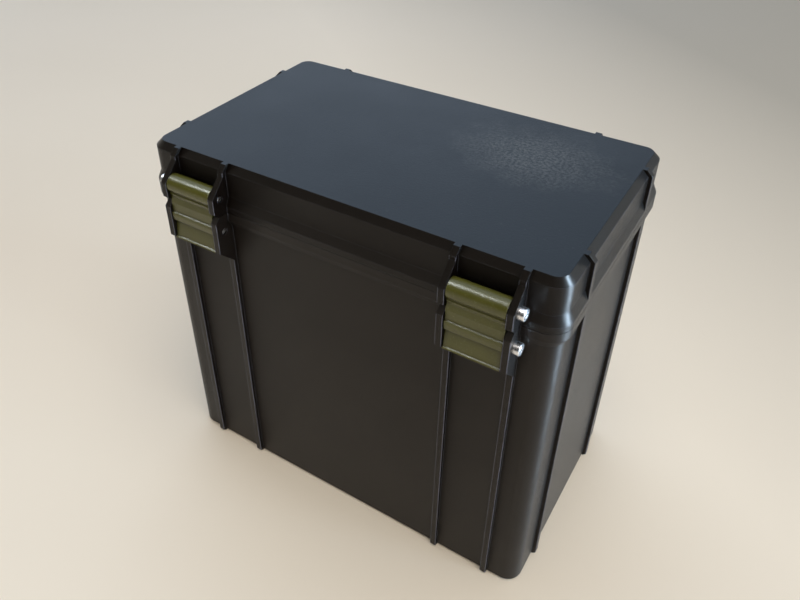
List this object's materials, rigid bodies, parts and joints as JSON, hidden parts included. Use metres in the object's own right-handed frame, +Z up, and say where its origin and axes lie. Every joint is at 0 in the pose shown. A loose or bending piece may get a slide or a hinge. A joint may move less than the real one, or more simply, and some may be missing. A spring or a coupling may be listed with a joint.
{
  "type": "battery box",
  "caption": "Tall ribbed plastic battery box with a hinged lid, snap latches, lithium cells, protection board, fuse and power socket.",
  "frame": {"origin": "centre of the flat underside, midway between the outer faces of the walls", "axes": "+X along the length to the right seen from the latches, -Y is the latch side, +Y the hinge side, +Z up"},
  "size_m": [0.214, 0.144, 0.193],
  "materials": {
    "black_moulding": "moulded",
    "board_green": "solder resist",
    "brass_plated": "bright",
    "case_plastic": "printed, fine layer lines, satin",
    "cell_can": "blue insulating film over the can",
    "copper": "bare copper",
    "cradle_plastic": "printed",
    "fuse_body": "moulded",
    "latch_plastic": "printed, matt olive",
    "lead_black": "silicone",
    "lead_red": "silicone",
    "lug_tin": "tinned",
    "plug_white": "moulded",
    "seal_rubber": "matt",
    "sheet_board": "glass-fibre board",
    "sink_metal": "anodised",
    "steel": "plated",
    "terminal_metal": "milled",
    "wire_mixed": "thin insulation"
  },
  "bodies": {
    "case": {"balance_plug": "plug_white", "balance_wires": "wire_mixed", "bay_nuts": "steel", "board_heat_sink": "sink_metal", "board_screws": "steel", "board_studs": "brass_plated", "board_transistors": "black_moulding", "busbars": "copper", "cable_lugs": "lug_tin", "case_body": "case_plastic", "cell_a": "cell_can", "cell_b": "cell_can", "cell_c": "cell_can", "cell_cradle": "cradle_plastic", "cell_d": "cell_can", "cell_sheets": "sheet_board", "cell_terminals": "terminal_metal", "fuse": "fuse_body", "fuse_holder": "black_moulding", "fuse_screws": "steel", "fuse_studs": "brass_plated", "hinge_screws": "steel", "hold_down_bar": "cradle_plastic", "hold_down_screws": "steel", "latch_catch_screws": "steel", "lead_board_to_socket": "lead_black", "lead_cells_to_board": "lead_black", "lead_cells_to_fuse": "lead_red", "lead_fuse_to_socket": "lead_red", "power_socket": "black_moulding", "protection_board": "board_green", "rim_seal": "seal_rubber", "socket_nuts": "steel", "socket_pins": "brass_plated", "socket_screws": "steel", "terminal_nuts": "steel"},
    "lid": {"case_lid": "case_plastic", "latch_pivot_screws": "steel"},
    "latch_left": {"latch_left": "latch_plastic"},
    "latch_right": {"latch_right": "latch_plastic"}
  },
  "joints": [
    {"name": "lid_hinge", "type": "hinge", "parent": "case", "child": "lid", "pos_m": [0, 0.068, 0.1695], "axis": [-1, 0, 0], "range_deg": [0, 114]},
    {"name": "latch_left_pivot", "type": "hinge", "parent": "lid", "child": "latch_left", "pos_m": [-0.0735, -0.067, 0.17825], "axis": [-1, 0, 0], "range_deg": [0, 170]},
    {"name": "latch_right_pivot", "type": "hinge", "parent": "lid", "child": "latch_right", "pos_m": [0.0735, -0.067, 0.17825], "axis": [-1, 0, 0], "range_deg": [0, 170]}
  ]
}
